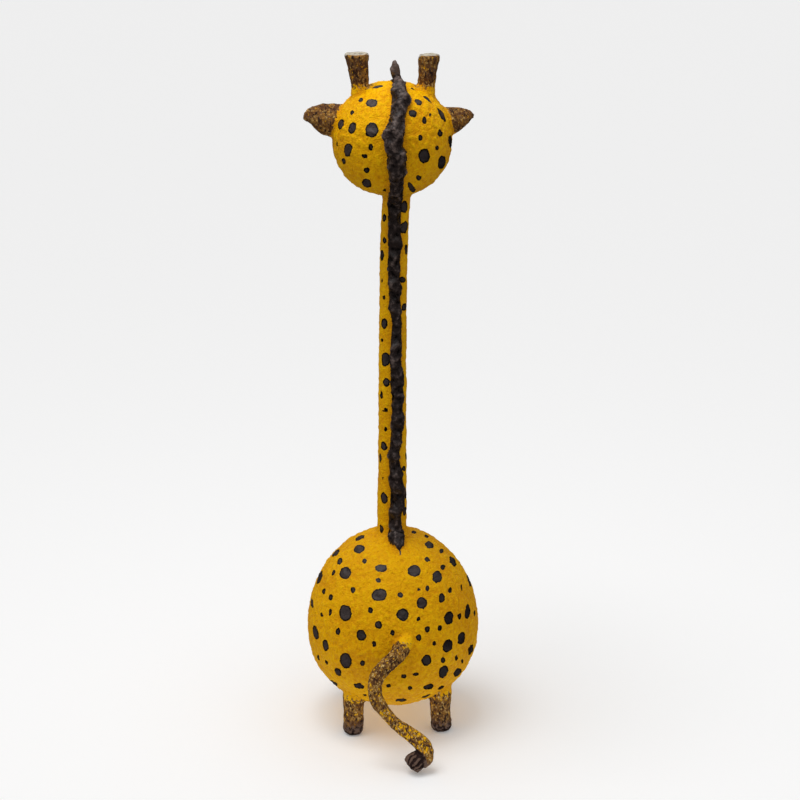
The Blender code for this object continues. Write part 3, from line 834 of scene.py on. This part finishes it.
def spotOnFace(piece, across, up, wide, high):
    # The same for a spot seen straight from the front
    start = Vector((across * mm, -1, head["girdle"] + up * mm))
    _, place, normal, _ = piece.ray_cast(start, Vector((0, 1, 0)))
    return place, normal, Vector((2 / (wide * mm), 0, 0)), Vector((0, 0, 2 / (high * mm)))


def spotEdge(points, spots, reach=0.02, depth=0.005):
    # Distance outside the nearest spot's edge in millimetres, below zero inside it. A spot lies only on
    # what is near it, and not on the far side of the neck.
    edge = np.full(len(points), 9.0)
    for place, normal, along, over in spots:
        away, normal = points - np.array(place), np.array(normal)
        deep = np.abs(away @ normal)
        near = np.nonzero(((away ** 2).sum(axis=1) < reach ** 2) & (deep < depth))[0]
        flat = away[near] - np.outer(away[near] @ normal, normal)
        share = np.hypot(flat @ np.array(along), flat @ np.array(over)) + 0.000001
        length = np.sqrt((flat ** 2).sum(axis=1))
        edge[near] = np.minimum(edge[near], length * (1 - 1 / share) / mm)
    return edge


def plainGround(piece):
    # The places and directions of the piece's points on the surface smoothed around them
    pick(piece)
    bpy.ops.object.duplicate()
    smooth = bpy.context.object
    applyModifier(smooth, "SMOOTH", factor=0.5, iterations=24)
    ground = readPoints(smooth), readPoints(smooth, "normal")
    bpy.data.objects.remove(smooth)
    return ground


def scatterSpots(points, normals, known):
    # Spots of three sizes on the yellow that the picture doesn't show, each clear of the others
    dice = random.Random(hiddenSpots["seed"])
    edges = coatEdges(points)
    towards = np.array(viewer.location) - points
    facing = (normals * towards).sum(axis=1) / np.linalg.norm(towards, axis=1)
    onNeck = (np.hypot(points[:, 0], points[:, 1]) < 0.02) & (points[:, 2] > bodyTop)
    onNeck &= points[:, 2] < head["girdle"]
    hidden = facing < np.where(onNeck, -hiddenSpots["neckLimb"], -hiddenSpots["limb"])
    hidden |= (edges["maneEdge"] < 4) & (points[:, 1] < 0) & (points[:, 2] > head["girdle"])
    yellow = (edges["maneEdge"] > hiddenSpots["offMane"]) & (edges["brownCover"] == 0)
    free = np.nonzero(yellow & hidden)[0]
    taken = [(np.array(place), 0.5 / np.linalg.norm(along) + 0.5 / np.linalg.norm(over))
             for place, _, along, over in known]
    made = []
    for least, most, gap in hiddenSpots["sizes"]:
        for _ in range(hiddenSpots["tries"]):
            index = free[dice.randrange(len(free))]
            place, normal = points[index], Vector(normals[index])
            scale = mm * (hiddenSpots["neckSize"] if onNeck[index] else 1)
            radius = dice.uniform(least, most) * scale
            if any(np.linalg.norm(place - other) < radius + size + gap * scale for other, size in taken):
                continue
            taken.append((place, radius))
            side = normal.orthogonal().normalized()
            side.rotate(Quaternion(normal, dice.uniform(0, math.pi)))
            over = normal.cross(side).normalized()
            stretch = dice.uniform(*hiddenSpots["stretch"])
            made.append((Vector(place), normal, side / (radius * stretch), over * stretch / radius))
    return made


def layFlat(spots, points, normals, reach=0.003):
    # Each spot lies on the mean direction of the smooth surface around it
    laid = []
    for place, normal, along, over in spots:
        near = ((points - np.array(place)) ** 2).sum(axis=1) < reach ** 2
        mean = Vector(normals[near].mean(axis=0)).normalized() if near.any() else normal
        laid.append((place, mean, along, over))
    return laid


ground, directions = plainGround(giraffe)
known = [spotFromPicture(giraffe, *spot) for spot in headSpots + neckSpots + bodySpots]
known = layFlat([spot for spot in known if spot], ground, directions)
print(len(known), "spots placed from the picture")
known += layFlat([spotOnFace(giraffe, *spot) for spot in face["dark"]], ground, directions)
eyes = layFlat([spotOnFace(giraffe, *spot) for spot in face["eyes"]], ground, directions)
scattered = scatterSpots(ground, directions, known + eyes)
print(len(scattered), "spots scattered over the hidden sides")


def addAttribute(piece, name, values):
    made = piece.data.attributes.new(name, "FLOAT", "POINT")
    made.data.foreach_set("value", np.asarray(values, np.float32))


points = readPoints(giraffe)
edges = coatEdges(points)
edges["maneEdge"] = np.minimum(edges["maneEdge"], maneEdgeAt(ground))
edges["spotEdge"] = spotEdge(points, known + scattered)
# The pale covers the painted eyes and the painted reflection on the horns' tops
edges["paleEyesAndHornGlare"] = np.maximum(edges["paleEyesAndHornGlare"], ramp(spotEdge(points, eyes), (0.4, -0.4)))
# How far each point stands out of the smooth surface, in millimetres
edges["ridge"] = ((points - ground) * directions).sum(axis=1) / mm
for name, values in edges.items():
    addAttribute(giraffe, name, values)


class Shade:
    # A socket in a node tree. Sums, differences and products of it add Math nodes.
    def __init__(self, tree, socket=None):
        self.tree = tree
        self.socket = socket

    def add(self, kind, settings=(), sockets=(), out=0):
        node = self.tree.nodes.new("ShaderNode" + kind)
        for name, value in dict(settings).items():
            setattr(node, name, value)
        for name, value in dict(sockets).items():
            if isinstance(value, Shade):
                self.tree.links.new(value.socket, node.inputs[name])
            else:
                node.inputs[name].default_value = value
        return Shade(self.tree, node.outputs[out])

    def math(self, operation, *values):
        return self.add("Math", {"operation": operation}, dict(enumerate(values)))

    def __add__(self, other):
        return self.math("ADD", self, other)

    def __radd__(self, other):
        return self.math("ADD", other, self)

    def __sub__(self, other):
        return self.math("SUBTRACT", self, other)

    def __rsub__(self, other):
        return self.math("SUBTRACT", other, self)

    def __mul__(self, other):
        return self.math("MULTIPLY", self, other)

    def __rmul__(self, other):
        return self.math("MULTIPLY", other, self)

    def over(self, low, high):
        # 0 below low, 1 above high, smooth between
        return self.add("MapRange", {"interpolation_type": "SMOOTHSTEP"},
                        {"Value": self, "From Min": low, "From Max": high})

    def attribute(self, name):
        return self.add("Attribute", {"attribute_name": name}, out="Fac")

    def grain(self, size, detail=2.0, roughness=0.5, stretch=(1, 1, 1), place=(0, 0, 0)):
        # Noise whose lumps are about so many millimetres across
        spot = self.add("TexCoord", out="Object")
        scale = tuple(1 / (size * mm * s) for s in stretch)
        moved = self.add("Mapping", {}, {"Vector": spot, "Scale": scale, "Location": place})
        return self.add("TexNoise", {}, {"Vector": moved, "Scale": 1.0, "Detail": detail,
                                         "Roughness": roughness})


def mixed(mask, under, over):
    # The colour over lies on the colour under where the mask is 1. 6 and 7 are the Mix node's colours.
    return mask.add("Mix", {"data_type": "RGBA"}, {0: mask, 6: under, 7: over}, 2)


def tone(*seen):
    # A colour as a screen shows it, 0 to 255, made linear
    return (*(c / 255 / 12.92 if c < 10.3 else ((c / 255 + 0.055) / 1.055) ** 2.4 for c in seen), 1)


# The lemon tone is a painted highlight and the shade tone a painted shade on the yellow; the mane's worn
# and deep tones also carry painted highlight and painted shade
paint = {
    "yellow": tone(236, 171, 0), "ochre": tone(226, 156, 0), "paintedHighlight": tone(251, 201, 0),
    "shade": tone(198, 128, 0), "charcoal": tone(68, 59, 58), "charcoalRim": tone(14, 9, 9),
    "mane": tone(43, 33, 31), "maneWornAndHighlight": tone(104, 88, 82), "maneHollowShade": tone(18, 12, 12),
    "umber": tone(148, 104, 46), "tan": tone(188, 148, 84), "brown": tone(96, 62, 36),
    "brownWorn": tone(106, 84, 72), "darkBrown": tone(42, 27, 24), "gold": tone(192, 134, 24),
    "cream": tone(220, 190, 122), "pale": tone(186, 178, 160), "paleGrey": tone(132, 124, 114),
}
# The grain's lumps in millimetres, the bump's depth, and how glossy each paint is
finish = {
    "grain": 3.4, "fine": 1.5, "bump": 0.0021, "specular": 0.07, "coatRoughness": 0.34,
    "sheen": 0.02, "spotSheen": 0.36, "maneSheen": 0.45,
}


def newMaterial(name):
    material = bpy.data.materials.new(name)
    material.use_nodes = True
    return material, material.node_tree.nodes["Principled BSDF"]


def setInputs(node, values):
    for name, value in values.items():
        node.inputs[name].default_value = value


def paintedPaper():
    material, shader = newMaterial("painted paper")
    start = Shade(material.node_tree)
    # The pulp's grain, which the paint and the relief share
    grain = start.grain(finish["grain"], 3, 0.6)
    fine = start.grain(finish["fine"], 2, 0.5, place=(4, 7, 2))
    pulp = grain * 0.5 + fine * 0.5
    # The yellow ground in two tones, with painted highlight on the raised grain and at the top of the head,
    # and painted shade in the hollows
    color = mixed(start.grain(26, 3).over(0.38, 0.66), paint["yellow"], paint["ochre"])
    ridge = start.attribute("ridge")
    place = start.add("TexCoord", out="Object")
    height = start.add("SeparateXYZ", {}, {"Vector": place}, "Z")
    sideways = start.add("SeparateXYZ", {}, {"Vector": place}, "X")
    level = pulp + ridge * 0.22
    light = level + height.over(0.535, 0.575) * 0.10
    # Painted highlight in lemon where the relief stands high and on the top of the head, painted shade
    # where it lies low
    color = mixed(light.over(0.50, 0.68) * 0.5, color, paint["paintedHighlight"])
    color = mixed(level.over(0.48, 0.34) * 0.5, color, paint["shade"])
    # Brown dabbed on the horns, ears, legs and tail, closed at the feet and the tuft
    cover = start.attribute("brownCover")
    broad = start.grain(4.2, 3, 0.6)
    small = start.grain(1.9, 3, 0.65, (1, 1, 1.7), place=(2, 5, 7))
    dabs = broad * 0.4 + small * 0.6 + (cover - 0.5) * 0.42
    smear = start.grain(5.5, 4, 0.65, (1, 1, 1.4), place=(6, 2, 2))
    brownColor = mixed(smear.over(0.42, 0.60), paint["brown"], paint["umber"])
    brownColor = mixed(dabs.over(0.56, 0.48), brownColor, paint["gold"])
    streak = start.grain(1.7, 3, 0.6, (1, 1, 2.4), place=(9, 1, 5)) * 0.7 + broad * 0.3
    brownColor = mixed(streak.over(0.50, 0.60), brownColor, paint["darkBrown"])
    flecks = start.grain(1.6, 2, 0.6, (1, 1, 1.6), place=(3, 8, 6)) * 0.75 + smear * 0.25
    bare = 1 - 0.45 * cover.over(0.72, 0.79)
    brownColor = mixed(flecks.over(0.53, 0.61) * bare, brownColor, paint["tan"])
    brownColor = mixed(flecks.over(0.60, 0.66) * bare, brownColor, paint["cream"])
    closed = mixed((grain + ridge * 0.45).over(0.50, 0.70), paint["darkBrown"], paint["brownWorn"])
    brownColor = mixed((cover + (small - 0.5) * 0.7).over(0.82, 0.98), brownColor, closed)
    color = mixed(dabs.over(0.46, 0.52), color, brownColor)
    # The eyes are painted pale, and the horns' flat tops carry a pale painted reflection
    pale = (start.attribute("paleEyesAndHornGlare") + (grain - 0.5) * 0.7).over(0.42, 0.58)
    color = mixed(pale, color, mixed(grain.over(0.44, 0.62), paint["pale"], paint["paleGrey"]))
    # Charcoal spots with a wavering edge and a darker rim
    waver = (start.grain(4.0, 2) - 0.5) * 2.4 + (start.grain(1.8, 2) - 0.5) * 1.2
    edge = start.attribute("spotEdge") + waver
    spot = edge.over(0.14, -0.14)
    charcoal = mixed(edge.over(-1.7, -0.8), paint["charcoal"], paint["charcoalRim"])
    # Painted shade on the spots: darker towards -X, the side away from the sun, and in the hollows of the
    # relief, with random darker patches besides
    spotShadeAndTone = sideways.over(0.010, -0.045) * 0.42
    spotShadeAndTone = spotShadeAndTone + start.grain(24, 1, place=(1, 6, 4)).over(0.45, 0.62) * 0.3
    charcoal = mixed(spotShadeAndTone + level.over(0.50, 0.36) * 0.25, charcoal, paint["charcoalRim"])
    color = mixed(spot, color, charcoal)
    # The dark mane: lighter on its ridges, partly worn and partly a painted highlight, with a painted
    # highlight at the forelock's top
    maneEdge = start.attribute("maneEdge") + waver * 0.5
    maneEdge = maneEdge + (start.grain(2.4, 2, place=(7, 3, 8)) - 0.5) * 2.0
    dark = maneEdge.over(0.2, -0.2)
    wornAndLit = height.over(0.570, 0.577) * 0.18 - height.over(0.50, 0.46) * 0.05 + ridge * 0.18
    wornAndLit = wornAndLit + start.grain(4.4, 4, 0.6, place=(5, 5, 1)) * 0.6
    wornAndLit = wornAndLit + start.grain(1.8, 3, 0.6, place=(1, 4, 4)) * 0.4
    maneColor = mixed(wornAndLit.over(0.49, 0.74), paint["mane"], paint["maneWornAndHighlight"])
    # Painted shade in the mane's hollows, with random darker patches; lower down the neck it is a little
    # darker
    maneColor = mixed(wornAndLit.over(0.44, 0.34), maneColor, paint["maneHollowShade"])
    color = mixed(dark, color, maneColor)
    bump = start.add("Bump", {}, {"Height": pulp, "Strength": 1.0, "Distance": finish["bump"]})
    rough = 0.46 + grain * 0.16
    # The dark paints have more sheen than the yellow
    sheen = finish["sheen"] + finish["spotSheen"] * spot + finish["maneSheen"] * dark
    for name, value in (("Base Color", color), ("Normal", bump), ("Roughness", rough),
                        ("Coat Weight", sheen)):
        material.node_tree.links.new(value.socket, shader.inputs[name])
    setInputs(shader, {"Specular IOR Level": finish["specular"], "Coat Roughness": finish["coatRoughness"]})
    return material


giraffe.data.materials.clear()
giraffe.data.materials.append(paintedPaper())
pick(giraffe)
bpy.ops.object.shade_smooth()
giraffe.vertex_groups.clear()
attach(giraffe, "root")
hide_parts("giraffe")
print("giraffe painted")

# A pale floor, a soft sun from the upper left, a soft lamp over the head and light thrown back
# from the floor around the feet
studio = {
    "floorSide": 60, "floorColor": (0.90, 0.90, 0.90), "floorRough": 0.9, "floorShine": 0.1,
    "floorGlow": 0.10, "above": 0.60, "below": 0.36, "skyFade": (-0.25, 0.35),
    "overhead": 1.0, "overheadFade": (0.25, 0.85), "backdrop": 0.85,
    "sunStrength": 0.84, "sunAngle": 38, "towardsSun": (0.30, 0.11, 0.95),
    "lampPlace": (0.08, 0.02, 1.02), "lampAim": (0, 0, 0.55), "lampSize": 0.30, "lampPower": 1.3,
    "bounceHeight": 0.004, "bounceSize": 0.44, "bouncePower": 0.30,
}


def addStudio():
    deselectAll()
    bpy.ops.mesh.primitive_plane_add(size=studio["floorSide"])
    floor = bpy.context.object
    floor.name = "floor"
    floor.visible_diffuse = False
    floor.visible_glossy = False
    material, shader = newMaterial("floor")
    setInputs(shader, {
        "Base Color": (*studio["floorColor"], 1), "Roughness": studio["floorRough"],
        "Specular IOR Level": studio["floorShine"], "Emission Color": (1, 1, 1, 1),
        "Emission Strength": studio["floorGlow"],
    })
    floor.data.materials.append(material)
    turn = Vector(studio["towardsSun"]).to_track_quat("Z", "Y").to_euler()
    bpy.ops.object.light_add(type="SUN", rotation=turn, location=(1, 1, 2))
    sun = bpy.context.object
    sun.data.energy = studio["sunStrength"]
    sun.data.angle = math.radians(studio["sunAngle"])
    place = Vector(studio["lampPlace"])
    turn = (place - Vector(studio["lampAim"])).to_track_quat("Z", "Y").to_euler()
    bpy.ops.object.light_add(type="AREA", rotation=turn, location=place)
    lamp = bpy.context.object  # over the head
    lamp.data.energy = studio["lampPower"]
    lamp.data.size = studio["lampSize"]
    place = (0, 0, studio["bounceHeight"])
    bpy.ops.object.light_add(type="AREA", rotation=(math.pi, 0, 0), location=place)
    bounce = bpy.context.object  # thrown back up by the floor
    bounce.data.shape = "DISK"
    bounce.data.energy = studio["bouncePower"]
    bounce.data.size = studio["bounceSize"]
    for light in (lamp, bounce):
        light.visible_camera = False
        light.visible_glossy = False
    world = bpy.data.worlds.new("studio")
    world.use_nodes = True
    bpy.context.scene.world = world
    tree = world.node_tree
    start = Shade(tree)
    way = start.add("TexCoord", out="Generated")
    height = start.add("SeparateXYZ", {}, {"Vector": way}, "Z")
    light = height.over(*studio["skyFade"]) * (studio["above"] - studio["below"]) + studio["below"]
    # Reflections see light only from above, as from a softbox overhead
    glossy = start.add("LightPath", out="Is Glossy Ray")
    light = light + glossy * (height.over(*studio["overheadFade"]) * studio["overhead"] - light)
    # Behind the floor's far edge the camera sees the same pale tone as the floor
    seen = start.add("LightPath", out="Is Camera Ray")
    light = light + seen * (studio["backdrop"] - light)
    tree.links.new(light.socket, tree.nodes["Background"].inputs["Strength"])
    tree.nodes["Background"].inputs["Color"].default_value = (1, 1, 1, 1)
    bpy.context.scene.view_settings.view_transform = "Standard"


addStudio()
print("studio lit")
print("triangles", sum(len(p.vertices) - 2 for p in giraffe.data.polygons))
